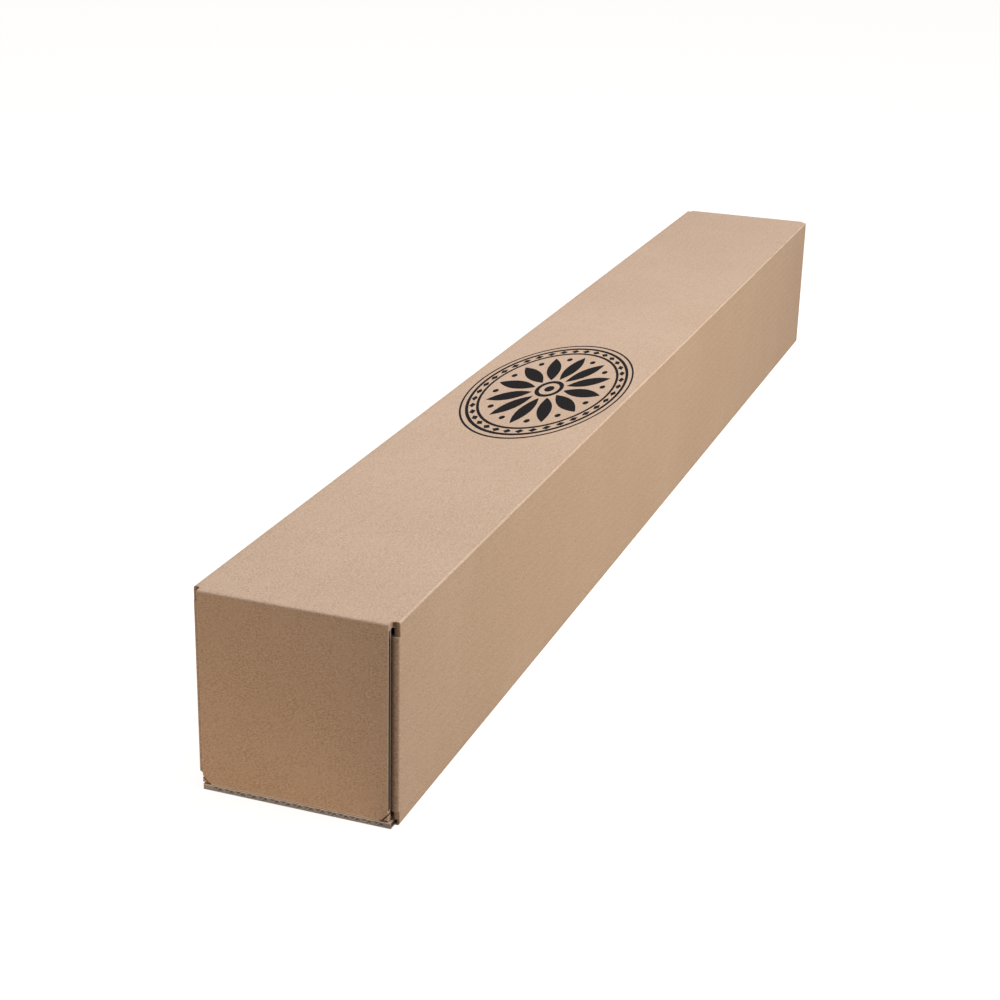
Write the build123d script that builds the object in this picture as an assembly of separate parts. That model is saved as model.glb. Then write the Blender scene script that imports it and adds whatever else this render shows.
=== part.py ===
from build123d import *
from math import asin, atan2, ceil, cos, degrees, floor, hypot, radians, sin, tan
import os

os.makedirs("parts", exist_ok=True)

# Frame: the tube lies along Y on its bottom panel, its middle is at the origin, +Z is up,
# and the front end faces -Y. All sizes are millimetres.

# Single-wall corrugated board, scored and folded sharply
BOARD = 3.0
FOLD_INSIDE = 0.4
FOLD_OUTSIDE = 1.2

# Two liners with one wave of fluting between them. The flutes run along the tube and show at the cut
# edges, as deep as FLUTE_OPEN. They are crushed flat within FLUTE_CRUSH of a fold.
LINER = 0.4
FLUTING = 0.35
FLUTE_PITCH = 6.2
FLUTE_SLOPE = 48.0
FLUTE_BEVEL = 0.4
FLUTE_OPEN = 5.0
FLUTE_CRUSH = 4.0
FLUTE_END = 1.5

# Clear room inside the closed tube, 4 x 4 x 36 inches
INSIDE_WIDTH = 102.0
INSIDE_HEIGHT = 102.0
INSIDE_LENGTH = 914.0

# End lid: a panel hinged on the top panel, with a tongue that tucks in above the bottom panel
LID_SIDE_EASE = 1.0
TUCK_GAP = 0.3
TONGUE_LENGTH = 38.0
TONGUE_SHOULDER = 3.5
TONGUE_SHOULDER_LONG = 8.0
TONGUE_TAPER = 1.5
TONGUE_CORNER = 13.0

# Slanted slits that free the lid's lower corners from the tongue's crease
SLIT_ALONG = 3.6
SLIT_UP = 3.9
SLIT_OPEN = 0.8

# Dust flaps: the side panels' ends, folded in behind the lid
FLAP_GAP = 0.6
FLAP_LENGTH = 46.0
FLAP_SLOT = 4.2
FLAP_TAPER = 6.0
FLAP_CORNER = 5.0
FLAP_OVER_TONGUE = 0.6
FLAP_BESIDE_TONGUE = 0.4

# Notches at the four corners of each end, between the top or bottom panel and its neighbours.
# They end where the dust flaps' folds begin.
NOTCH_WIDE = 2.4
NOTCH_ROUND = 2.0

# Glued seam along the lower left edge: the tab folds up from the bottom panel, and the left panel's
# lower corners are cut off
TAB_WIDTH = 35.0
TAB_SETBACK = 10.0
TAB_TAPER = 10.0
SEAM_RISE = 0.5
SEAM_CORNER = 7.0

# Sizes that follow from the ones above
FOLD_REACH = FOLD_INSIDE + BOARD
OUT_WIDTH = INSIDE_WIDTH + 2 * BOARD
OUT_HEIGHT = INSIDE_HEIGHT + 2 * BOARD
SIDE = OUT_WIDTH / 2
LID_FACE = INSIDE_LENGTH / 2 + BOARD
FLAP_FACE = INSIDE_LENGTH / 2 - FLAP_GAP
LID_BACK = LID_FACE - FOLD_REACH
SHOULDER = FLAP_FACE - FOLD_OUTSIDE
NOTCH_DEEP = LID_FACE - SHOULDER
LID_WIDTH = INSIDE_WIDTH - 2 * LID_SIDE_EASE
CHANNEL_RISE = BOARD - 2 * LINER - FLUTING
CHANNEL_LEAN = CHANNEL_RISE / tan(radians(FLUTE_SLOPE))
CHANNEL_WIDE = (FLUTE_PITCH / 2 + CHANNEL_LEAN - FLUTING / sin(radians(FLUTE_SLOPE))) / 2
CHANNEL_OVER = 2 * CHANNEL_WIDE

# The lid swings on the outer corner of its crease, so everything on it stays within this reach,
# and the tongue is a chord of that circle
LID_REACH = OUT_HEIGHT - BOARD - TUCK_GAP
TONGUE_TILT = degrees(asin(TONGUE_LENGTH / (2 * LID_REACH)))
TONGUE_INNER_REACH = LID_REACH * cos(radians(TONGUE_TILT)) - BOARD
FLAP_LOW = OUT_HEIGHT - TONGUE_INNER_REACH + FLAP_OVER_TONGUE


def parallel(points, gap):
    """Points of the line that runs the gap to the left of a line with corners."""
    steps = []
    for (x0, y0), (x1, y1) in zip(points, points[1:]):
        length = hypot(x1 - x0, y1 - y0)
        steps.append(((x1 - x0) / length, (y1 - y0) / length))
    shifted = []
    for place, (x, y) in enumerate(points):
        before = steps[max(place - 1, 0)]
        after = steps[min(place, len(steps) - 1)]
        across = (-before[1] - after[1], before[0] + after[0])
        share = gap * 2 / (across[0] ** 2 + across[1] ** 2)
        shifted.append((x + across[0] * share, y + across[1] * share))
    return shifted


def board_face(points):
    """Edge-on view of board whose outer liner follows the points, with a rounded fold at each corner."""
    inner_points = parallel(points, BOARD)
    outer = FilletPolyline(*points, radius=FOLD_OUTSIDE)
    inner = FilletPolyline(*inner_points, radius=FOLD_INSIDE)
    ends = [Line(points[0], inner_points[0]), Line(points[-1], inner_points[-1])]
    return make_face([*outer.edges(), *inner.edges(), *ends])


def outline(points):
    """Flat polygon from its corner points."""
    return make_face(Polyline(*points, close=True))


def channel():
    """Section of the air between the upper liner and a valley of the fluting, rounded by three flats."""
    top = BOARD / 2 - LINER
    valley = CHANNEL_WIDE - CHANNEL_LEAN
    low = top - CHANNEL_RISE
    face = outline([(-CHANNEL_WIDE, top), (CHANNEL_WIDE, top), (valley, low), (-valley, low)])
    return chamfer(face.vertices().group_by(Axis.Y)[0], FLUTE_BEVEL)


def open_flutes(across, along, core):
    """Air between the liners of a flat sheet with flutes along Y, outside a core away from its cut edges."""
    step = FLUTE_PITCH / 2
    first = ceil((across[0] + CHANNEL_WIDE) / step)
    last = floor((across[1] - CHANNEL_WIDE) / step)
    run = Pos(0, along[1], 0) * extrude(Plane.XZ * channel(), along[1] - along[0])
    channels = []
    for place in range(first, last + 1):
        half_turn = Rot(0, 180 * (place % 2), 0)
        channels.append(Pos(place * step, 0, 0) * half_turn * run)
    return Part() + channels - extrude(core, BOARD, both=True)


def front_and_back(piece):
    """A piece of the front end, and its mirror image at the back end."""
    return [piece, mirror(piece, about=Plane.XZ)]


def wall_section():
    """The four walls seen along the tube, with the left panel's lower edge lapped over the tab's fold."""
    middle = Pos(0, OUT_HEIGHT / 2)
    outer = middle * Rectangle(OUT_WIDTH, OUT_HEIGHT)
    seam_corner = outer.vertices().sort_by(lambda corner: corner.X + corner.Y)[0]
    outer = fillet([corner for corner in outer.vertices() if corner is not seam_corner], FOLD_OUTSIDE)
    inner = middle * Rectangle(INSIDE_WIDTH, INSIDE_HEIGHT)
    inner = fillet(inner.vertices(), FOLD_INSIDE)
    from_low_left = (Align.MIN, Align.MIN)
    corner = Pos(-SIDE, 0) * Rectangle(BOARD + FOLD_REACH, FOLD_REACH, align=from_low_left)
    lapped = Pos(-SIDE, SEAM_RISE) * Rectangle(BOARD, FOLD_REACH - SEAM_RISE, align=from_low_left)
    cut_flute = Pos(BOARD / 2 - SIDE, SEAM_RISE) * Rot(0, 0, 90) * channel()
    return outer - inner - corner + lapped - cut_flute


def walls():
    """The four walls between the notches, and the bottom panel on to its cut ends."""
    run = extrude(Plane.XZ * wall_section(), SHOULDER, both=True)
    flat_left = -SIDE + BOARD + FOLD_OUTSIDE
    flat_right = SIDE - NOTCH_WIDE
    from_left = (Align.MIN, Align.CENTER, Align.MIN)
    bottom = Pos(flat_left, 0, 0) * Box(flat_right - flat_left, 2 * LID_FACE, BOARD, align=from_left)
    core = Rectangle(OUT_WIDTH, 2 * (LID_FACE - FLUTE_OPEN))
    across = (flat_left + FLUTE_END, flat_right - FLUTE_END)
    ends = (-LID_FACE - FLUTE_OPEN, LID_FACE + FLUTE_OPEN)
    return run - seam_corners() + bottom - Pos(0, 0, BOARD / 2) * open_flutes(across, ends, core)


def seam_corners():
    """What is cut off the left panel's lower corners, at a slant."""
    shape = outline([(-SHOULDER, 0), (SEAM_CORNER - SHOULDER, 0), (-SHOULDER, SEAM_CORNER)])
    return front_and_back(Pos(-SIDE, 0, 0) * extrude(Plane.YZ * shape, BOARD))


def glue_tab():
    """Tab with sloped ends that folds up from the bottom panel and is glued inside the left panel."""
    half = FLAP_FACE - TAB_SETBACK
    tip_half = half - TAB_TAPER
    corner_x = -SIDE + BOARD
    folded = board_face([(corner_x, TAB_WIDTH), (corner_x, 0), (corner_x + 2 * FOLD_REACH, 0)])
    sheet = extrude(Plane.XZ * folded, half, both=True)
    shape = outline([
        (0, -half), (0, half), (FOLD_REACH, half),
        (TAB_WIDTH, tip_half), (TAB_WIDTH, -tip_half), (FOLD_REACH, -half),
    ])
    across = (FOLD_REACH + FLUTE_CRUSH, TAB_WIDTH + CHANNEL_OVER)
    air = open_flutes(across, (-half, half), offset(shape, -FLUTE_OPEN))
    middle = Plane(origin=(corner_x + BOARD / 2, 0, 0), x_dir=(0, 0, 1), z_dir=(1, 0, 0))
    return (sheet & middle * extrude(shape, 2 * FOLD_REACH, both=True)) - middle * air


def dust_flap():
    """The right panel's front end, folded in behind the lid and cut back above the tongue's path."""
    folded = board_face([(SIDE - FLAP_LENGTH, -FLAP_FACE), (SIDE, -FLAP_FACE), (SIDE, BOARD - SHOULDER)])
    sheet = extrude(folded, OUT_HEIGHT)
    top = OUT_HEIGHT - FOLD_REACH - FLAP_SLOT
    low = FOLD_REACH + FLAP_SLOT
    tip = SIDE - FLAP_LENGTH
    root = LID_WIDTH / 2 + FLAP_BESIDE_TONGUE
    shape = outline([
        (low, SIDE), (top, SIDE), (top, SIDE - FOLD_REACH),
        (top - FLAP_TAPER, tip + FLAP_CORNER), (top - FLAP_TAPER - FLAP_CORNER, tip),
        (FLAP_LOW + FLAP_CORNER, tip), (FLAP_LOW, tip + FLAP_CORNER), (FLAP_LOW, root), (low, root),
    ])
    along = (tip - FLUTE_OPEN, SIDE - FOLD_REACH - FLUTE_CRUSH)
    across = (FLAP_LOW - CHANNEL_OVER, top + CHANNEL_OVER)
    air = open_flutes(across, along, offset(shape, -FLUTE_OPEN))
    middle = Plane(origin=(0, BOARD / 2 - FLAP_FACE, 0), x_dir=(0, 0, 1), z_dir=(0, 1, 0))
    return (sheet & middle * extrude(shape, 2 * NOTCH_DEEP, both=True)) - middle * air


def end_strip(half_width):
    """Top panel's end, lid and tongue at the front as one bent strip."""
    tilt = radians(TONGUE_TILT)
    corner = (-LID_FACE, OUT_HEIGHT)
    foot = (-LID_FACE, OUT_HEIGHT - LID_REACH)
    tip = (foot[0] + TONGUE_LENGTH * cos(tilt), foot[1] + TONGUE_LENGTH * sin(tilt))
    start = (BOARD - SHOULDER, OUT_HEIGHT)
    return extrude(Plane.YZ * board_face([start, corner, foot, tip]), half_width, both=True)


def crease_plane():
    """Mitre through the crease, which parts the lid from the top panel and holds the hinge's axis."""
    return Plane(origin=(0, -LID_FACE, OUT_HEIGHT), x_dir=(1, 0, 0), z_dir=(0, 1, 1))


def crease_lip():
    """Top panel's end between its notches, whose inner corners are round, up to the mitred crease."""
    half = LID_WIDTH / 2
    beside = half + 2 * NOTCH_ROUND
    right_side = [(half, -LID_FACE), (half, -SHOULDER), (beside, -SHOULDER), (beside, NOTCH_DEEP - SHOULDER)]
    left_side = [(-x, y) for x, y in reversed(right_side)]
    shape = outline(right_side + left_side)
    notch_corners = shape.vertices().group_by(Axis.Y)[1].sort_by(Axis.X)[1:3]
    room = extrude(fillet(notch_corners, NOTCH_ROUND), OUT_HEIGHT)
    strip = end_strip(SIDE - FOLD_OUTSIDE)
    return split(strip, bisect_by=crease_plane(), keep=Keep.TOP) & room


def tube():
    """The whole blank apart from its two lids, folded and glued."""
    right = dust_flap()
    left = mirror(right, about=Plane.YZ)
    ends = [end for piece in (right, left, crease_lip()) for end in front_and_back(piece)]
    return walls() + [glue_tab(), *ends]


def tongue_plane():
    """Middle of the tongue's board, with X along its crease and Y towards its tip."""
    tilt = radians(TONGUE_TILT)
    foot = (0, -LID_FACE, OUT_HEIGHT - LID_REACH)
    return Plane(origin=foot, x_dir=(1, 0, 0), z_dir=(0, -sin(tilt), cos(tilt))).offset(BOARD / 2)


def tongue_outline():
    """Tongue with shoulders beside its crease, a light taper and round corners, in its own plane."""
    root = LID_WIDTH / 2
    neck = root - TONGUE_SHOULDER
    end = neck - TONGUE_TAPER
    shoulder = FOLD_REACH + TONGUE_SHOULDER_LONG
    right_side = [(root, 0), (root, FOLD_REACH), (neck, shoulder), (end, TONGUE_LENGTH)]
    left_side = [(-x, y) for x, y in reversed(right_side)]
    return fillet(outline(right_side + left_side).vertices().group_by(Axis.Y)[-1], TONGUE_CORNER)


def lid_air():
    """Open flutes along the side edges of the front lid's panel and round its tongue."""
    half = LID_WIDTH / 2
    across = (-half - CHANNEL_OVER, half + CHANNEL_OVER)
    low = OUT_HEIGHT - LID_REACH + FOLD_REACH + FLUTE_CRUSH
    high = OUT_HEIGHT - FOLD_REACH - FLUTE_CRUSH
    panel = Plane(origin=(0, BOARD / 2 - LID_FACE, 0), x_dir=(1, 0, 0), z_dir=(0, -1, 0))
    panel_core = Rectangle(LID_WIDTH - 2 * FLUTE_OPEN, 2 * OUT_HEIGHT)
    tongue_core = offset(tongue_outline(), -FLUTE_OPEN)
    tongue_run = (FOLD_REACH + FLUTE_CRUSH, TONGUE_LENGTH + FLUTE_OPEN)
    return [
        panel * open_flutes(across, (low, high), panel_core),
        tongue_plane() * open_flutes(across, tongue_run, tongue_core),
    ]


def slits():
    """Slanted slits at both ends of the tongue's crease."""
    low = OUT_HEIGHT - LID_REACH
    slope = degrees(atan2(SLIT_UP, SLIT_ALONG))
    length = 2 * hypot(SLIT_UP, SLIT_ALONG)
    cuts = []
    for way in (-1, 1):
        inner_end = Pos(way * (LID_WIDTH / 2 - SLIT_ALONG), -LID_BACK, low)
        blade = Box(length, FOLD_REACH, SLIT_OPEN, align=(Align.MIN, Align.MAX, Align.CENTER))
        turn = -slope if way > 0 else slope - 180
        cuts.append(inner_end * Rot(0, turn, 0) * blade)
    return cuts


def lid():
    """Front lid down to the slits at its lower corners, and the tongue."""
    swung = split(end_strip(LID_WIDTH / 2), bisect_by=crease_plane(), keep=Keep.BOTTOM)
    panel_room = Pos(0, -LID_BACK, 0) * Box(
        2 * OUT_WIDTH, 2 * FOLD_REACH, OUT_HEIGHT, align=(Align.CENTER, Align.MAX, Align.MIN))
    tongue_room = tongue_plane() * extrude(tongue_outline(), FOLD_REACH, both=True)
    return (swung & (panel_room + tongue_room)) - slits() - lid_air()


def write(name, shape):
    """One STEP file for one node, which is a single folded sheet."""
    solid = shape.solid()
    print(name, round(solid.volume), "mm3")
    export_step(solid, f"parts/{name}.step")


front_lid = lid()
write("tube", tube())
write("front_lid", front_lid)
write("back_lid", mirror(front_lid, about=Plane.XZ))
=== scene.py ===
"""Square mailing tube: the finish of its board, its creases, foot folds and mark, and a plain studio."""

from math import asin, cos, pi, radians, sin, tan

import bmesh
import bpy
from mathutils import Matrix, Vector


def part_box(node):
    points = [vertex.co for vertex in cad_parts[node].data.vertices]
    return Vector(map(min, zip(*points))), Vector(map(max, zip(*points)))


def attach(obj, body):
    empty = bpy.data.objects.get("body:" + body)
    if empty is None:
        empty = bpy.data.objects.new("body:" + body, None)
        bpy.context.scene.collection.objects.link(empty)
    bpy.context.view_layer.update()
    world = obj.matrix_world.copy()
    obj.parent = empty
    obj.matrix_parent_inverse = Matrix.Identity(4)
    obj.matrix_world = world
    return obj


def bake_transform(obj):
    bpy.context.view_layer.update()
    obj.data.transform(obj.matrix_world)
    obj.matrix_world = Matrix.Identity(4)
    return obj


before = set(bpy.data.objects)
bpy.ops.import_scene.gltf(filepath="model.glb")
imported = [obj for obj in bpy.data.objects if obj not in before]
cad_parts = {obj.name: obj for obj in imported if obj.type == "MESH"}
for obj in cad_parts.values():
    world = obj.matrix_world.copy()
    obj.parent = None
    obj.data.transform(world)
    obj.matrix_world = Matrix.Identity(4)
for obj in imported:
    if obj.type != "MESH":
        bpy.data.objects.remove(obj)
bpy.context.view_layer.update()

bl_info = {
    "name": "Square mailing tube",
    "version": (1, 0, 0),
    "blender": (4, 5, 0),
    "location": "3D View > Sidebar > Mailing tube",
    "description": "Dresses a long square carton of corrugated kraft board, and sets up a white studio",
    "category": "Object",
}

MM = 0.001
BODY = "tube"
LIDS = ("front_lid", "back_lid")

# Board of the carton, as it was folded: two liners with one wave of fluting between them
BOARD = 3.0 * MM
LINER = 0.4 * MM
FLUTE_PITCH = 6.2 * MM
FOLD_OUTSIDE = 1.2 * MM
DUST_FLAP_GAP = 0.6 * MM
DUST_FLAP_SLOT = 4.2 * MM
TUCK_GAP = 0.3 * MM

# Where the carton stands, read from the frame. Both ends are alike, and but for the glued tab both sides.
TUBE_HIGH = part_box("tube")[1]
LID_LOW, LID_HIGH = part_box("front_lid")
HALF_WIDTH = TUBE_HIGH.x
HALF_LENGTH = TUBE_HIGH.y
HEIGHT = TUBE_HIGH.z
LID_SIDE = LID_HIGH.x
# A place well past the end, for masks that have no outer limit
BEYOND_END = 2 * HALF_LENGTH

# A lid's hinge and its sharp foot, and what lies behind it: the dust flaps' outer face and top edge,
# and the shoulder where the walls end and the folds of the dust flaps begin
HINGE_Z = HEIGHT
FOOT_Z = BOARD + TUCK_GAP
FLAP_FACE = HALF_LENGTH - BOARD - DUST_FLAP_GAP
FLAP_TOP = HEIGHT - BOARD - DUST_FLAP_SLOT
SHOULDER = FLAP_FACE - FOLD_OUTSIDE

# How a fold looks, by the distance from its sharp corner: pale on it, partly rubbed wear and partly a painted
# highlight, and dark beside it, partly the pressed score and partly painted shade.
# Each pair is where a fade begins and ends.
RUBBED_AND_HIGHLIGHT_TO = (0.45 * MM, 0.85 * MM)
PRESSED_AND_SHADE_FROM = (0.9 * MM, 1.4 * MM)
PRESSED_AND_SHADE_TO = (1.6 * MM, 3.2 * MM)
WEAR_PATCH = 12.0 * MM

# How far a mask reaches to each side of the flat face that it colours, at the cut end and in a notch
ON_FACE = 0.05 * MM
IN_NOTCH = 0.1 * MM

# The shade in the joint beside a lid: how far it goes back round the fold of the dust flap, and between
# which places from side to side it fades in behind the lid's edge and out again on the fold
SHADE_BACK = 1.3 * MM
SHADE_IN = (LID_SIDE - 1.2 * MM, LID_SIDE + 0.2 * MM)
SHADE_OUT = (LID_SIDE - 0.1 * MM, HALF_WIDTH - 1.6 * MM)
# From where to where the shade lies in the notches above and below the joint, and where it fades above
NOTCH_ABOVE = (LID_SIDE + 0.5 * MM, HALF_WIDTH - LINER)
NOTCH_FADE = (LID_SIDE + 1.4 * MM, HALF_WIDTH - LINER)
NOTCH_BELOW = (HALF_WIDTH - 2.5 * MM, HALF_WIDTH - 1.0 * MM)

# The slow drift of the paper's tone, and the grain and roughness of the ink on it
PAPER_DRIFT = 90.0 * MM
INK_GRAIN = 1.2 * MM
INK_TOOTH = 0.02 * MM

# Width of the camera's sensor, which is set in millimetres
SENSOR_WIDTH = 36.0


def linear(hex_colour):
    """Linear colour with full alpha from an sRGB colour such as #C9AA8C."""
    parts = [int(hex_colour[place:place + 2], 16) / 255 for place in (1, 3, 5)]
    return tuple(c / 12.92 if c <= 0.04045 else ((c + 0.055) / 1.055) ** 2.4 for c in parts) + (1.0,)


def node(tree, kind, inputs=None, **settings):
    """Adds a shader node with its settings, and fills its inputs with values or other nodes' outputs."""
    made = tree.nodes.new(kind)
    for name, value in settings.items():
        setattr(made, name, value)
    for place, value in (inputs or {}).items():
        if isinstance(value, bpy.types.NodeSocket):
            tree.links.new(value, made.inputs[place])
        else:
            made.inputs[place].default_value = value
    return made


def colour_setting(name, description, hex_colour):
    """A colour that a user can change, given as it looks on screen."""
    return bpy.props.FloatVectorProperty(
        name=name, description=description, subtype="COLOR", size=4, min=0.0, max=1.0,
        default=linear(hex_colour))


def length_setting(name, description, default):
    """A length that a user can change."""
    return bpy.props.FloatProperty(
        name=name, description=description, default=default, min=0.0, unit="LENGTH")


class BoardSettings(bpy.types.PropertyGroup):
    """Colours and surface sizes of the corrugated board."""

    liner: colour_setting("Liner", "Unbleached kraft liner", "#D2B498")
    liner_dark: colour_setting("Liner, dense", "Kraft liner where the fibres lie densest", "#BC9B7C")
    # Pale loose fibres, and the pale band on the folds: partly rubbed wear, partly a painted highlight
    pale_kraft_and_highlight: colour_setting("Worn fold", "Liner rubbed pale along a fold", "#E2CDB6")
    # Dark shives, and the dark band beside the folds: partly the pressed score, partly painted shade
    dark_kraft_and_shade: colour_setting("Score", "Liner pressed dark beside a fold", "#A07E5E")
    fluting: colour_setting("Fluting", "Grey-brown medium at a cut edge", "#AFA6A0")
    # Painted light: far paler than kraft, so that the deep hollows between the flutes look less dark
    lightened_hollow: colour_setting("Hollow", "Inner faces of the liners between the flutes", "#EFE8E0")
    recess: colour_setting("Recess", "Board in a gap so narrow that little light comes back out", "#3A2A20")
    cut_liner: colour_setting("Cut liner", "Fresh fibres at the edge of a liner", "#EADFD3")
    cloud: length_setting("Cloud", "Size of the clouds in which paper fibres settle", 4.0 * MM)
    fibre_long: length_setting("Fibre length", "Length of a fibre bundle", 1.1 * MM)
    fibre_wide: length_setting("Fibre width", "Width of a fibre bundle, drawn wide enough to show", 0.6 * MM)
    patch: length_setting("Patch", "Size of the patches in which the fibres show more or less", 11.0 * MM)
    speck: length_setting("Speck spacing", "Distance between pale loose fibres", 5.0 * MM)
    shive: length_setting("Shive spacing", "Distance between dark bark specks", 5.0 * MM)
    washboard: length_setting("Washboard", "How far the liner sinks between two flutes", 0.05 * MM)
    tooth: length_setting("Tooth", "Roughness height of the liner", 0.04 * MM)


class MarkSettings(bpy.types.PropertyGroup):
    """Place and sizes of the printed oval on the top panel."""

    ink: colour_setting("Ink", "Black flexographic ink", "#1B1818")
    ink_thin: colour_setting("Thin ink", "Ink where the paper shows through", "#2C2624")
    across: length_setting("Width", "Width of the oval across the tube", 94.0 * MM)
    along: length_setting("Length", "Length of the oval along the tube", 207.0 * MM)
    centre_x: bpy.props.FloatProperty(
        name="Centre X", description="Centre of the oval, to the right of the tube's middle",
        default=2.2 * MM, unit="LENGTH")
    centre_y: bpy.props.FloatProperty(
        name="Centre Y", description="Centre of the oval, behind the tube's middle",
        default=-91.0 * MM, unit="LENGTH")
    film: length_setting("Film", "Thickness of the ink film, drawn thick enough to show", 0.04 * MM)


class StudioSettings(bpy.types.PropertyGroup):
    """Camera, lamps and floor."""

    camera_place: bpy.props.FloatVectorProperty(
        name="Camera", description="Where the camera stands", subtype="TRANSLATION", unit="LENGTH",
        default=(369.413 * MM, -1200.671 * MM, 481.737 * MM))
    camera_aim: bpy.props.FloatVectorProperty(
        name="Aim", description="Point in the middle of the picture", subtype="TRANSLATION", unit="LENGTH",
        default=(-5.681 * MM, -156.943 * MM, 54.0 * MM))
    camera_roll: bpy.props.FloatProperty(
        name="Roll", description="Turn of the camera about its own line of sight", subtype="ANGLE",
        default=radians(1.4353))
    focal: bpy.props.FloatProperty(
        name="Focal length", description="Focal length on a sensor 36 mm wide", subtype="DISTANCE_CAMERA",
        default=69.031)
    floor_size: length_setting("Floor", "Side of the square floor", 60.0)
    floor: colour_setting("Floor colour", "Pale seamless paper", "#A29589")
    glow: bpy.props.FloatProperty(
        name="Floor glow", description="White added to the floor where the camera sees it",
        default=0.88, min=0.0)
    sky: bpy.props.FloatProperty(
        name="Sky", description="Strength of the even light from all round", default=0.30, min=0.0)


def within(tree, value, low, high):
    """One where a value lies between two limits, and zero elsewhere."""
    return node(tree, "ShaderNodeMath", {
        0: value, 1: (low + high) / 2, 2: (high - low) / 2}, operation="COMPARE").outputs[0]


def all_of(tree, masks):
    """The product of some masks."""
    result = masks[0]
    for mask in masks[1:]:
        result = node(tree, "ShaderNodeMath", {0: result, 1: mask}, operation="MULTIPLY").outputs[0]
    return result


def any_of(tree, masks):
    """The largest of some masks."""
    result = masks[0]
    for mask in masks[1:]:
        result = node(tree, "ShaderNodeMath", {0: result, 1: mask}, operation="MAXIMUM").outputs[0]
    return result


class Surface:
    """A paper surface in the making: the steps below work on its colour and height in turn."""

    def __init__(self, name):
        self.material = bpy.data.materials.new(name)
        self.material.use_nodes = True
        self.tree = self.material.node_tree
        self.tree.nodes.clear()
        self.place = node(self.tree, "ShaderNodeTexCoord").outputs["Object"]
        mirrored = node(self.tree, "ShaderNodeVectorMath", {0: self.place}, operation="ABSOLUTE")
        parts = node(self.tree, "ShaderNodeSeparateXYZ", {0: mirrored.outputs[0]})
        self.x, self.y, self.z = parts.outputs
        self.colour = None
        self.height = None

    def region(self, x=None, y=None, z=None):
        """One inside a box and zero outside it, alike on both sides and at both ends of the carton."""
        spans = ((self.x, x), (self.y, y), (self.z, z))
        return all_of(self.tree, [within(self.tree, value, *span) for value, span in spans if span])

    def corner_distance(self, to_one_face, to_other_face):
        """Distance from a sharp fold, given how far a point lies inside the fold's two outer faces."""
        corner = node(self.tree, "ShaderNodeCombineXYZ", {0: to_one_face, 1: to_other_face})
        length = node(self.tree, "ShaderNodeVectorMath", {0: corner.outputs[0]}, operation="LENGTH")
        return length.outputs["Value"]

    def lay(self, share, colour):
        """Lays a colour over the surface by a share."""
        laid = node(self.tree, "ShaderNodeMix", {0: share, 6: self.colour, 7: colour}, data_type="RGBA")
        self.colour = laid.outputs[2]


def kraft_liner(surface, board, fibre_grid):
    """Unbleached kraft liner: cloudy, with patches of fibres, pale loose fibres and a few dark shives.

    Single fibres are too fine to show, so bundles about twenty times as wide are drawn in their place,
    and the loose fibres and shives are drawn two or three times as large as they are.
    """
    tree = surface.tree
    clouds = node(tree, "ShaderNodeTexNoise", {
        "Vector": surface.place, "Scale": 1 / board.cloud, "Detail": 3.0, "Roughness": 0.6})
    grid = node(tree, "ShaderNodeMapping", {"Vector": surface.place, "Scale": fibre_grid})
    fibres = node(tree, "ShaderNodeTexNoise", {
        "Vector": grid.outputs[0], "Scale": 1.0, "Detail": 2.0, "Roughness": 0.65})
    drift = node(tree, "ShaderNodeTexNoise", {
        "Vector": surface.place, "Scale": 1 / PAPER_DRIFT, "Detail": 1.0})
    patches = node(tree, "ShaderNodeTexNoise", {
        "Vector": surface.place, "Scale": 1 / board.patch, "Detail": 2.0})
    specks = node(tree, "ShaderNodeTexVoronoi", {
        "Vector": grid.outputs[0], "Scale": board.fibre_long / board.speck})
    shives = node(tree, "ShaderNodeTexVoronoi", {"Vector": surface.place, "Scale": 1 / board.shive})
    cloud_share = node(tree, "ShaderNodeMapRange", {
        "Value": clouds.outputs["Fac"], "From Min": 0.36, "From Max": 0.64, "To Min": 0.28, "To Max": 0.42})
    fibre_share = node(tree, "ShaderNodeMapRange", {
        "Value": fibres.outputs["Fac"], "From Min": 0.3, "From Max": 0.7, "To Min": -1.3, "To Max": 1.3})
    drift_share = node(tree, "ShaderNodeMapRange", {
        "Value": drift.outputs["Fac"], "From Min": 0.35, "From Max": 0.65, "To Min": -0.12, "To Max": 0.12})
    patch = node(tree, "ShaderNodeMapRange", {
        "Value": patches.outputs["Fac"], "From Min": 0.38, "From Max": 0.62, "To Min": 0.45, "To Max": 1.4})
    speck = node(tree, "ShaderNodeMapRange", {
        "Value": specks.outputs["Distance"], "From Min": 0.07, "From Max": 0.12,
        "To Min": 0.8, "To Max": 0.0})
    shive = node(tree, "ShaderNodeMapRange", {
        "Value": shives.outputs["Distance"], "From Min": 0.05, "From Max": 0.075,
        "To Min": 0.55, "To Max": 0.0})
    settled = node(tree, "ShaderNodeMath", {
        0: fibre_share.outputs[0], 1: patch.outputs[0], 2: cloud_share.outputs[0]},
        operation="MULTIPLY_ADD")
    dense = node(tree, "ShaderNodeMath", {
        0: settled.outputs[0], 1: drift_share.outputs[0]}, operation="ADD")
    surface.colour = board.liner
    surface.lay(dense.outputs[0], board.liner_dark)
    surface.lay(speck.outputs[0], board.pale_kraft_and_highlight)
    surface.lay(shive.outputs[0], board.dark_kraft_and_shade)
    surface.height = node(tree, "ShaderNodeMath", {
        0: fibres.outputs["Fac"], 1: board.tooth}, operation="MULTIPLY").outputs[0]


def washboard(surface, board, across):
    """The liner sinks a little between two flutes, which shows as faint lines along them."""
    tree = surface.tree
    turns = node(tree, "ShaderNodeMath", {0: across, 1: 2 * pi / FLUTE_PITCH}, operation="MULTIPLY")
    wave = node(tree, "ShaderNodeMath", {0: turns.outputs[0]}, operation="COSINE")
    surface.height = node(tree, "ShaderNodeMath", {
        0: wave.outputs[0], 1: board.washboard / 2, 2: surface.height},
        operation="MULTIPLY_ADD").outputs[0]


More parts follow.
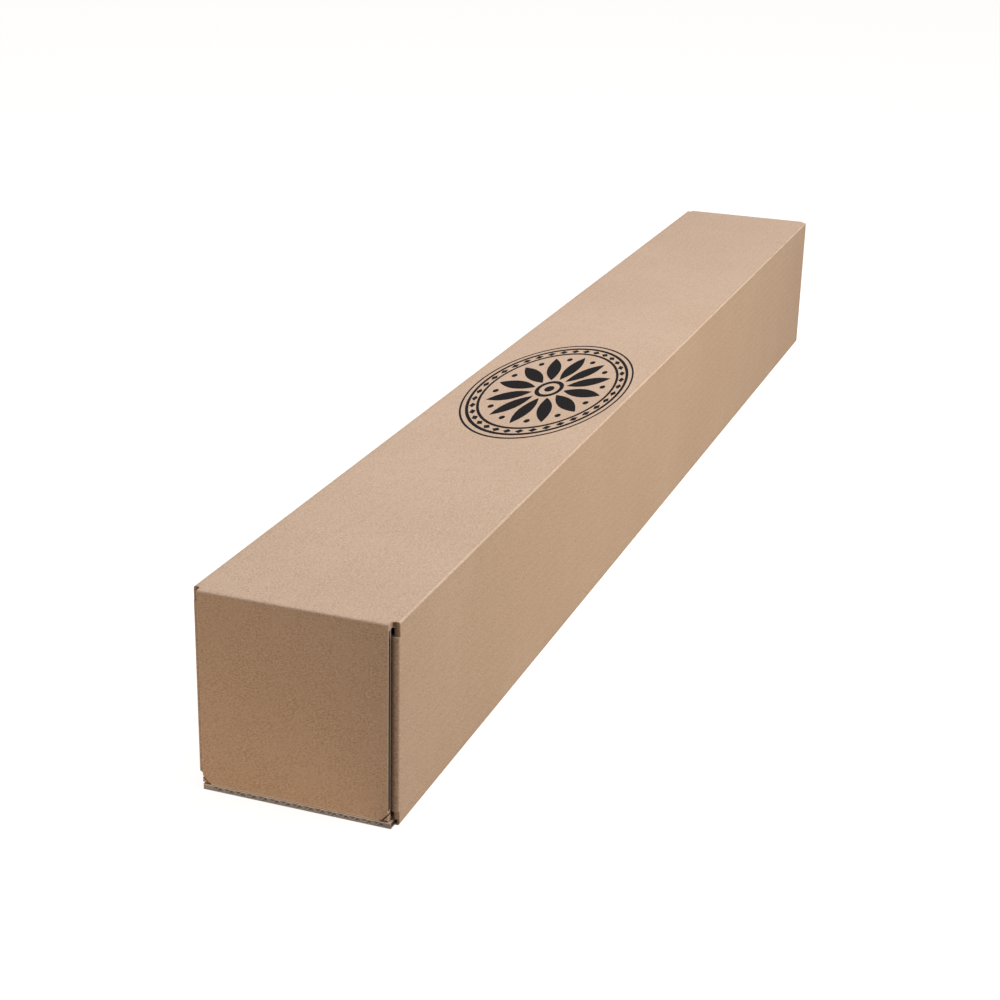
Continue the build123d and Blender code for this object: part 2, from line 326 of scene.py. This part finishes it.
def fold_wear_and_painted_light(surface, board, distance, rubbed_and_highlight_share, pressed_and_shade_share):
    """A fold is darkened in a narrow band beside its corner, partly pressed and partly painted shade, and
    paled in patches on it, partly rubbed and partly a painted highlight.
    """
    tree = surface.tree
    pressed_and_shade_in = node(tree, "ShaderNodeMapRange", {
        "Value": distance, "From Min": PRESSED_AND_SHADE_FROM[0], "From Max": PRESSED_AND_SHADE_FROM[1]},
        interpolation_type="SMOOTHSTEP")
    pressed_and_shade_out = node(tree, "ShaderNodeMapRange", {
        "Value": distance, "From Min": PRESSED_AND_SHADE_TO[0], "From Max": PRESSED_AND_SHADE_TO[1],
        "To Min": pressed_and_shade_share, "To Max": 0.0}, interpolation_type="SMOOTHSTEP")
    rubbed = node(tree, "ShaderNodeMapRange", {
        "Value": distance, "From Min": RUBBED_AND_HIGHLIGHT_TO[0], "From Max": RUBBED_AND_HIGHLIGHT_TO[1],
        "To Min": rubbed_and_highlight_share, "To Max": 0.0}, interpolation_type="SMOOTHSTEP")
    patches = node(tree, "ShaderNodeTexNoise", {
        "Vector": surface.place, "Scale": 1 / WEAR_PATCH, "Detail": 4.0, "Roughness": 0.7})
    unevenly = node(tree, "ShaderNodeMapRange", {
        "Value": patches.outputs["Fac"], "From Min": 0.35, "From Max": 0.65, "To Min": 0.45, "To Max": 1.0})
    surface.lay(all_of(tree, [pressed_and_shade_in.outputs[0], pressed_and_shade_out.outputs[0]]), board.dark_kraft_and_shade)
    surface.lay(all_of(tree, [rubbed.outputs[0], unevenly.outputs[0]]), board.pale_kraft_and_highlight)


def finish_paper(surface, sheen=0.25):
    """Matt paper: rough, with a low sheen of loose fibres and its height as bump."""
    tree = surface.tree
    bump = node(tree, "ShaderNodeBump", {"Strength": 1.0, "Distance": 1.0, "Height": surface.height})
    shader = node(tree, "ShaderNodeBsdfPrincipled", {
        "Base Color": surface.colour, "Roughness": 0.86, "Specular IOR Level": sheen,
        "Normal": bump.outputs[0]})
    node(tree, "ShaderNodeOutputMaterial", {"Surface": shader.outputs[0]})
    return surface.material


def joint_shade(surface):
    """How dark it gets in the joint beside a lid, and in the notches at the joint's two ends."""
    tree = surface.tree
    fade_in = node(tree, "ShaderNodeMapRange", {
        "Value": surface.x, "From Min": SHADE_IN[0], "From Max": SHADE_IN[1]})
    fade_out = node(tree, "ShaderNodeMapRange", {
        "Value": surface.x, "From Min": SHADE_OUT[0], "From Max": SHADE_OUT[1],
        "To Min": 0.9, "To Max": 0.0})
    beside_lid = all_of(tree, [
        surface.region(
            y=(FLAP_FACE - SHADE_BACK, FLAP_FACE + IN_NOTCH), z=(BOARD, FLAP_TOP - 3 * IN_NOTCH)),
        fade_in.outputs[0], fade_out.outputs[0]])
    notch_below = surface.region(
        x=NOTCH_BELOW, y=(FLAP_FACE - SHADE_BACK, HALF_LENGTH - LINER), z=(2 * LINER, BOARD + ON_FACE))
    # Above, painted shade on the core of the cut board between its liners, in the wall and in the top panel
    wall_core_shade = surface.region(
        y=(SHOULDER - IN_NOTCH, SHOULDER + IN_NOTCH), z=(FLAP_TOP - LINER, HEIGHT - LINER))
    top_core_shade = surface.region(
        y=(SHOULDER, HALF_LENGTH - LINER), z=(HEIGHT - BOARD + LINER, HEIGHT - LINER))
    depth = node(tree, "ShaderNodeMapRange", {
        "Value": surface.x, "From Min": NOTCH_FADE[0], "From Max": NOTCH_FADE[1],
        "To Min": 0.75, "To Max": 0.15})
    notch_above = all_of(tree, [
        any_of(tree, [wall_core_shade, top_core_shade]), surface.region(x=NOTCH_ABOVE), depth.outputs[0]])
    return any_of(tree, [beside_lid, notch_below, notch_above])


def tube_board(board):
    """Corrugated kraft board of the walls and dust flaps: warm brown, matt, faintly streaked lengthwise.

    At its cut ends the liners show pale and fresh, and the fluting between them grey-brown.
    """
    surface = Surface("kraft_corrugated_board_tube")
    tree = surface.tree
    kraft_liner(surface, board, (1 / board.fibre_long, 1 / board.fibre_wide, 1 / board.fibre_long))
    on_top = node(tree, "ShaderNodeMath", {0: surface.z, 1: HEIGHT - BOARD}, operation="GREATER_THAN")
    across = node(tree, "ShaderNodeMix", {
        0: on_top.outputs[0], 2: surface.z, 3: surface.x}, data_type="FLOAT")
    washboard(surface, board, across.outputs[0])
    to_side = node(tree, "ShaderNodeMath", {0: HALF_WIDTH, 1: surface.x}, operation="SUBTRACT")
    to_end = node(tree, "ShaderNodeMath", {0: HALF_LENGTH, 1: surface.y}, operation="SUBTRACT")
    to_top = node(tree, "ShaderNodeMath", {0: HEIGHT, 1: surface.z}, operation="SUBTRACT")
    to_level = node(tree, "ShaderNodeMath", {0: to_top.outputs[0], 1: surface.z}, operation="MINIMUM")
    # Along the long folds and the crease: a painted highlight with some wear on the fold, and painted shade
    # with the pressed score beside it
    long_fold = surface.corner_distance(to_side.outputs[0], to_level.outputs[0])
    fold_wear_and_painted_light(surface, board, long_fold, rubbed_and_highlight_share=0.4, pressed_and_shade_share=0.08)
    crease = surface.corner_distance(to_end.outputs[0], to_top.outputs[0])
    fold_wear_and_painted_light(surface, board, crease, rubbed_and_highlight_share=0.15, pressed_and_shade_share=0.08)

    # Cut edges: the bottom panel's end, the dust flaps and the glued tab; also the rim on top of the bottom
    # panel's end, painted as pale as a cut liner as painted light in the shade under the lid's foot
    between_sides = (0.0, HALF_WIDTH - BOARD - LINER)
    at_end = (HALF_LENGTH - ON_FACE, BEYOND_END)
    between_liners = (LINER, BOARD - LINER)
    cut_liner = any_of(tree, [
        surface.region(y=at_end, z=(0.0, BOARD)),
        # Painted light: the rim on top of the bottom panel's end, in the shade under the lid's foot
        surface.region(
            x=(0.0, LID_SIDE - 4.0 * MM), y=(HALF_LENGTH - BOARD / 2, BEYOND_END),
            z=(BOARD - ON_FACE, BOARD + ON_FACE))])
    bottom_hollow = surface.region(
        x=between_sides, y=(HALF_LENGTH - 3 * BOARD, BEYOND_END), z=between_liners)
    bottom_core = surface.region(y=at_end, z=between_liners)
    flap_core = surface.region(
        x=between_sides, y=(FLAP_FACE - BOARD + LINER, FLAP_FACE - LINER), z=(2 * BOARD, FLAP_TOP))
    tab_core = surface.region(
        x=(HALF_WIDTH - 2 * BOARD + LINER, HALF_WIDTH - BOARD - LINER),
        y=(0.0, FLAP_FACE - 3 * BOARD), z=(2 * BOARD, HEIGHT / 2))
    surface.lay(cut_liner, board.cut_liner)
    # Painted light in the hollows at the bottom panel's cut end
    surface.lay(bottom_hollow, board.lightened_hollow)
    surface.lay(any_of(tree, [bottom_core, flap_core, tab_core]), board.fluting)
    surface.lay(joint_shade(surface), board.recess)
    return finish_paper(surface)


def tongue_tilt():
    """How far the tongue springs up off the bottom panel: half the angle of its chord at the hinge."""
    return asin((LID_HIGH.y - LID_LOW.y) / (HINGE_Z - FOOT_Z)) / 2


def lid_board(board):
    """Corrugated kraft board of the lids and tongues: warm brown, matt, faintly streaked upwards."""
    surface = Surface("kraft_corrugated_board_lid")
    tree = surface.tree
    kraft_liner(surface, board, (1 / board.fibre_long, 1 / board.fibre_long, 1 / board.fibre_wide))
    washboard(surface, board, surface.x)
    to_end = node(tree, "ShaderNodeMath", {0: HALF_LENGTH, 1: surface.y}, operation="SUBTRACT")
    to_top = node(tree, "ShaderNodeMath", {0: HEIGHT, 1: surface.z}, operation="SUBTRACT")
    to_foot = node(tree, "ShaderNodeMath", {0: surface.z, 1: FOOT_Z}, operation="SUBTRACT")
    # Along the crease: a faint painted highlight with some wear, and a little painted shade beside it
    crease = surface.corner_distance(to_end.outputs[0], to_top.outputs[0])
    fold_wear_and_painted_light(surface, board, crease, rubbed_and_highlight_share=0.15, pressed_and_shade_share=0.04)
    # Painted light along the foot fold: nearly the full pale colour, stronger than wear alone, which lightens
    # the shade under the fold
    foot_fold = surface.corner_distance(to_end.outputs[0], to_foot.outputs[0])
    fold_wear_and_painted_light(surface, board, foot_fold, rubbed_and_highlight_share=0.9, pressed_and_shade_share=0.0)

    # Cut edges: the panel's sides, and all round the tongue, whose board lies at its own tilt
    tilt = tongue_tilt()
    panel_core = surface.region(
        y=(HALF_LENGTH - BOARD + LINER, HALF_LENGTH - LINER),
        z=(FOOT_Z + 2 * BOARD, HEIGHT - 1.2 * BOARD))
    sunk = node(tree, "ShaderNodeMath", {0: to_end.outputs[0], 1: -sin(tilt)}, operation="MULTIPLY")
    above_tongue = node(tree, "ShaderNodeMath", {
        0: to_foot.outputs[0], 1: cos(tilt), 2: sunk.outputs[0]}, operation="MULTIPLY_ADD")
    tongue_core = all_of(tree, [
        within(tree, above_tongue.outputs[0], LINER, BOARD - LINER),
        surface.region(y=(0.0, HALF_LENGTH - 2 * BOARD))])
    side_edge = surface.region(
        x=(LID_SIDE - 0.3 * MM, HALF_WIDTH), y=(HALF_LENGTH - LINER, BEYOND_END))
    pale_edge = node(tree, "ShaderNodeMath", {0: side_edge, 1: 0.25}, operation="MULTIPLY")
    surface.lay(pale_edge.outputs[0], board.cut_liner)
    surface.lay(any_of(tree, [panel_core, tongue_core]), board.fluting)
    # The flutes in the panel's sides lie in the shade of the joint, those near the outer liner most
    shaded = node(tree, "ShaderNodeMath", {0: panel_core, 1: 0.55}, operation="MULTIPLY")
    outer_half = all_of(tree, [
        panel_core, surface.region(y=(HALF_LENGTH - BOARD / 2, HALF_LENGTH - LINER))])
    surface.lay(any_of(tree, [shaded.outputs[0], outer_half]), board.recess)
    return finish_paper(surface)


def printing_ink(mark):
    """Flexographic ink: near black, matt, with the paper's grain in it, drawn coarse enough to show."""
    surface = Surface("black_flexographic_ink")
    tree = surface.tree
    grain = node(tree, "ShaderNodeTexNoise", {
        "Vector": surface.place, "Scale": 1 / INK_GRAIN, "Detail": 3.0, "Roughness": 0.7})
    thin = node(tree, "ShaderNodeMapRange", {
        "Value": grain.outputs["Fac"], "From Min": 0.5, "From Max": 0.72})
    surface.colour = mark.ink
    surface.lay(thin.outputs[0], mark.ink_thin)
    surface.height = node(tree, "ShaderNodeMath", {
        0: grain.outputs["Fac"], 1: INK_TOOTH}, operation="MULTIPLY").outputs[0]
    return finish_paper(surface, sheen=0.05)


def piece_from(form, name, material):
    """A finished object from a bmesh, in place at the origin."""
    mesh = bpy.data.meshes.new(name)
    form.to_mesh(mesh)
    form.free()
    mesh.materials.append(material)
    piece = bpy.data.objects.new(name, mesh)
    bpy.context.scene.collection.objects.link(piece)
    return piece


def thicken(form, faces, step):
    """Extrudes some faces by a step to a closed solid whose faces point outwards."""
    grown = bmesh.ops.extrude_face_region(form, geom=faces)
    moved = [part for part in grown["geom"] if isinstance(part, bmesh.types.BMVert)]
    bmesh.ops.translate(form, verts=moved, vec=step)
    bmesh.ops.recalc_face_normals(form, faces=list(form.faces))


class MAILTUBE_OT_board(bpy.types.Operator):
    """Gives the tube and its lids the finish of corrugated kraft board"""

    bl_idname = "mailtube.board"
    bl_label = "Finish the board"

    def execute(self, context):
        board = context.scene.mailtube_board
        materials = {**dict.fromkeys(LIDS, lid_board(board)), BODY: tube_board(board)}
        for name, material in materials.items():
            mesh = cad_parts[name].data
            if not mesh.materials:
                mesh.materials.append(material)
            for place in range(len(mesh.materials)):
                mesh.materials[place] = material
        return {"FINISHED"}


class MAILTUBE_OT_creases(bpy.types.Operator):
    """Adds the crushed board in each lid's crease"""

    bl_idname = "mailtube.creases"
    bl_label = "Fill the creases"

    half_thick: length_setting("Half thickness", "How deep the fan's ends are set in the board", 0.2 * MM)
    inner: length_setting("Inner radius", "Where the fan begins, beside the outer liner", 0.55 * MM)
    outer: length_setting("Outer radius", "Where the fan ends, beside the inner liner", 4.2 * MM)
    side_gap: length_setting("Side gap", "How far the fan stays inside the lid's sides", 0.02 * MM)
    steps: bpy.props.IntProperty(name="Steps", description="Steps of the fan's arc", default=14, min=2)

    def execute(self, context):
        for lid, way in zip(LIDS, (-1, 1)):
            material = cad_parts[lid].data.materials[0]
            hinge = Vector((0, way * HALF_LENGTH, HINGE_Z))
            into_corner = Vector((0, -way, -1)).normalized()
            to_lid = Vector((0, way, -1)).normalized()
            low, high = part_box(lid)
            width = (high.x - low.x) / 2 - self.side_gap
            form = bmesh.new()
            bmesh.ops.create_grid(form, x_segments=1, y_segments=self.steps, size=1.0)
            for vertex in form.verts:
                across, step = vertex.co.x, vertex.co.y
                vertex.co = hinge + to_lid * step * self.half_thick + into_corner * self.inner
                vertex.co.x = (low.x + high.x) / 2 + across * width
            thicken(form, list(form.faces), into_corner * (self.outer - self.inner))
            piece = piece_from(form, lid + "_crease", material)
            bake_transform(piece)
        return {"FINISHED"}


class MAILTUBE_OT_foot_folds(bpy.types.Operator):
    """Makes the fold between each lid and its tongue as crisp outside as scored board folds"""

    bl_idname = "mailtube.foot_folds"
    bl_label = "Sharpen the foot folds"

    half_length: length_setting(
        "Half length", "Half the fold between the slits at the lid's corners", 45.5 * MM)
    depth: length_setting("Depth", "How far the piece goes into the board", 1.0 * MM)

    def execute(self, context):
        tilt = tongue_tilt()
        reach = FOLD_OUTSIDE * tan((pi / 2 + tilt) / 2)
        for lid, way in zip(LIDS, (-1, 1)):
            corner = Vector((-self.half_length, way * HALF_LENGTH, FOOT_Z))
            up_lid = corner + Vector((0, 0, reach))
            up_tongue = corner + reach * Vector((0, -way * cos(tilt), sin(tilt)))
            inside = corner + self.depth * Vector((0, -way, 1))
            form = bmesh.new()
            section = form.faces.new([form.verts.new(place) for place in (corner, up_lid, inside, up_tongue)])
            thicken(form, [section], Vector((2 * self.half_length, 0, 0)))
            piece = piece_from(form, lid + "_foot_fold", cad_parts[lid].data.materials[0])
            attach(piece, lid)
        return {"FINISHED"}


class MAILTUBE_OT_mark(bpy.types.Operator):
    """Prints a plain oval rosette on the top panel"""

    bl_idname = "mailtube.mark"
    bl_label = "Print the mark"

    petals: bpy.props.IntProperty(
        name="Petals", description="Petals round the middle, and dots between them", default=12, min=3)
    diamonds: bpy.props.IntProperty(
        name="Diamonds", description="Diamonds round the rim", default=36, min=3)

    def execute(self, context):
        mark = context.scene.mailtube_mark
        # All its shapes are drawn in a circle of radius 1, which is then stretched to the oval
        form = bmesh.new()
        ring(form, outer=1.0, inner=0.978)
        ring(form, outer=0.935, inner=0.90)
        for turn in range(self.diamonds):
            angle = 2 * pi * (turn + 0.5) / self.diamonds
            diamond(form, angle, reach=0.858, half_wide=0.052, half_long=0.036)
        ring(form, outer=0.816, inner=0.785)
        for turn in range(self.petals):
            petal(form, 2 * pi * turn / self.petals, start=0.2, end=0.72, half_wide=0.085)
        for turn in range(self.petals):
            dot(form, 2 * pi * (turn + 0.5) / self.petals, reach=0.66, radius=0.035)
        ring(form, outer=0.17, inner=0.12)
        dot(form, 0.0, reach=0.0, radius=0.06)
        bmesh.ops.scale(form, verts=list(form.verts), vec=(mark.across / 2, mark.along / 2, 1.0))
        thicken(form, list(form.faces), Vector((0, 0, 2 * mark.film)))
        place = Vector((mark.centre_x, mark.centre_y, HEIGHT - mark.film))
        bmesh.ops.translate(form, verts=list(form.verts), vec=place)
        piece = piece_from(form, "printed_mark", printing_ink(mark))
        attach(piece, BODY)
        return {"FINISHED"}


def ring(form, outer, inner):
    """A flat ring between two radii."""
    loops = [
        bmesh.ops.create_circle(form, cap_ends=False, segments=160, radius=radius)["verts"]
        for radius in (outer, inner)]
    edges = {edge for loop in loops for vertex in loop for edge in vertex.link_edges}
    bmesh.ops.bridge_loops(form, edges=list(edges))


def dot(form, angle, reach, radius):
    """A round dot."""
    place = Matrix.Translation((reach * cos(angle), reach * sin(angle), 0))
    bmesh.ops.create_circle(form, cap_ends=True, segments=20, radius=radius, matrix=place)


def diamond(form, angle, reach, half_wide, half_long):
    """A small diamond that points outwards."""
    made = bmesh.ops.create_circle(form, cap_ends=True, segments=4, radius=1.0)
    bmesh.ops.scale(form, verts=made["verts"], vec=(half_long, half_wide, 1.0))
    place = Matrix.Rotation(angle, 4, "Z") @ Matrix.Translation((reach, 0, 0))
    bmesh.ops.transform(form, verts=made["verts"], matrix=place)


def petal(form, angle, start, end, half_wide):
    """A petal from near the middle outwards: a circle drawn out to a point at both ends."""
    made = bmesh.ops.create_circle(form, cap_ends=True, segments=24, radius=1.0)
    for vertex in made["verts"]:
        vertex.co.y *= abs(vertex.co.y)
    bmesh.ops.scale(form, verts=made["verts"], vec=((end - start) / 2, half_wide, 1.0))
    place = Matrix.Rotation(angle, 4, "Z") @ Matrix.Translation(((start + end) / 2, 0, 0))
    bmesh.ops.transform(form, verts=made["verts"], matrix=place)


class MAILTUBE_OT_studio(bpy.types.Operator):
    """Sets up the white floor, the soft lamps and the camera"""

    bl_idname = "mailtube.studio"
    bl_label = "Set up the studio"

    def execute(self, context):
        studio = context.scene.mailtube_studio
        white_floor(studio)
        softbox(
            "softbox_above", place=(0.4, 0.05, 1.5), aim=(0.0, 0.0, 0.1),
            size=(1.4, 1.4), power=22.0, hex_colour="#E3E8FA")
        softbox(
            "softbox_right", place=(0.985, -0.04, 0.535), aim=(0.05, -0.04, 0.05),
            size=(0.5, 0.6), power=4.5, hex_colour="#FFFFF3")
        softbox(
            "softbox_front_left", place=(-1.5, -1.75, 0.35), aim=(0.0, -0.46, 0.05),
            size=(0.7, 0.7), power=3.0, hex_colour="#FFE3C6")
        # Stands in for a white table top, which lights the lower part of the front from below
        softbox(
            "card_in_front", place=(-0.155, -0.6002, 0.0005), aim=(-0.155, -0.6002, 1.0),
            size=(0.4, 0.28), power=0.192, hex_colour="#FFE0C0")
        even_sky(context.scene, studio)
        aimed_camera(context.scene, studio)
        context.scene.view_settings.view_transform = "Standard"
        return {"FINISHED"}


def looked_at(tree):
    """One where the camera looks at a thing, also in a mirror or through glass, and zero elsewhere."""
    path = node(tree, "ShaderNodeLightPath")
    rays = ("Is Camera Ray", "Is Glossy Ray", "Is Transmission Ray")
    return any_of(tree, [path.outputs[name] for name in rays])


def white_floor(studio):
    """Seamless white paper: where the camera sees it, a glow leaves only a faint shadow on it."""
    form = bmesh.new()
    bmesh.ops.create_grid(form, x_segments=1, y_segments=1, size=studio.floor_size / 2)
    material = bpy.data.materials.new("white_seamless_paper")
    material.use_nodes = True
    tree = material.node_tree
    tree.nodes.clear()
    glow = node(tree, "ShaderNodeMath", {0: looked_at(tree), 1: studio.glow}, operation="MULTIPLY")
    shader = node(tree, "ShaderNodeBsdfPrincipled", {
        "Base Color": studio.floor, "Roughness": 0.9, "Specular IOR Level": 0.0,
        "Emission Color": (1.0, 1.0, 1.0, 1.0), "Emission Strength": glow.outputs[0]})
    node(tree, "ShaderNodeOutputMaterial", {"Surface": shader.outputs[0]})
    piece_from(form, "floor", material)


def softbox(name, place, aim, size, power, hex_colour):
    """A large lamp that shines towards a point, with soft shadows, and isn't seen itself."""
    lamp = bpy.data.lights.new(name, "AREA")
    lamp.shape = "RECTANGLE"
    lamp.size, lamp.size_y = size
    lamp.energy = power
    lamp.color = linear(hex_colour)[:3]
    placed = bpy.data.objects.new(name, lamp)
    placed.location = place
    placed.rotation_euler = (Vector(place) - Vector(aim)).to_track_quat("Z", "Y").to_euler()
    placed.visible_camera = False
    bpy.context.scene.collection.objects.link(placed)


def even_sky(scene, studio):
    """Even white light from all round."""
    scene.world = bpy.data.worlds.new("studio")
    scene.world.use_nodes = True
    tree = scene.world.node_tree
    tree.nodes.clear()
    strength = node(tree, "ShaderNodeMix", {0: looked_at(tree), 2: studio.sky, 3: 1.0}, data_type="FLOAT")
    sky = node(tree, "ShaderNodeBackground", {
        "Color": (1.0, 1.0, 1.0, 1.0), "Strength": strength.outputs[0]})
    node(tree, "ShaderNodeOutputWorld", {"Surface": sky.outputs[0]})


def aimed_camera(scene, studio):
    """The camera at the place, aim and roll of a product picture from the front right and above."""
    lens = bpy.data.cameras.new("camera")
    lens.lens = studio.focal
    lens.sensor_width = SENSOR_WIDTH
    camera = bpy.data.objects.new("camera", lens)
    sight = Vector(studio.camera_aim) - Vector(studio.camera_place)
    turn = sight.to_track_quat("-Z", "Y").to_matrix() @ Matrix.Rotation(studio.camera_roll, 3, "Z")
    camera.rotation_euler = turn.to_euler()
    camera.location = studio.camera_place
    scene.collection.objects.link(camera)
    scene.camera = camera


SETTINGS = {"mailtube_board": BoardSettings, "mailtube_mark": MarkSettings, "mailtube_studio": StudioSettings}
STEPS = (
    MAILTUBE_OT_board, MAILTUBE_OT_creases, MAILTUBE_OT_foot_folds, MAILTUBE_OT_mark, MAILTUBE_OT_studio)


class MAILTUBE_PT_sidebar(bpy.types.Panel):
    """Lists the carton's settings and the steps that dress it"""

    bl_label = "Mailing tube"
    bl_space_type = "VIEW_3D"
    bl_region_type = "UI"
    bl_category = "Mailing tube"

    def draw(self, context):
        for scene_property in SETTINGS:
            group = getattr(context.scene, scene_property)
            box = self.layout.box()
            for name in group.__annotations__:
                box.prop(group, name)
        for step in STEPS:
            self.layout.operator(step.bl_idname)


def register():
    """Makes the settings, the steps and the panel known to the program."""
    for group in (*SETTINGS.values(), *STEPS, MAILTUBE_PT_sidebar):
        bpy.utils.register_class(group)
    for name, group in SETTINGS.items():
        setattr(bpy.types.Scene, name, bpy.props.PointerProperty(type=group))


def unregister():
    """Takes out what register adds."""
    for name in SETTINGS:
        delattr(bpy.types.Scene, name)
    for group in (MAILTUBE_PT_sidebar, *STEPS, *SETTINGS.values()):
        bpy.utils.unregister_class(group)


def main():
    """Dresses the carton."""
    register()
    bpy.ops.mailtube.board()
    bpy.ops.mailtube.creases()
    bpy.ops.mailtube.foot_folds()
    bpy.ops.mailtube.mark()
    bpy.ops.mailtube.studio()


if __name__ == "__main__":
    main()
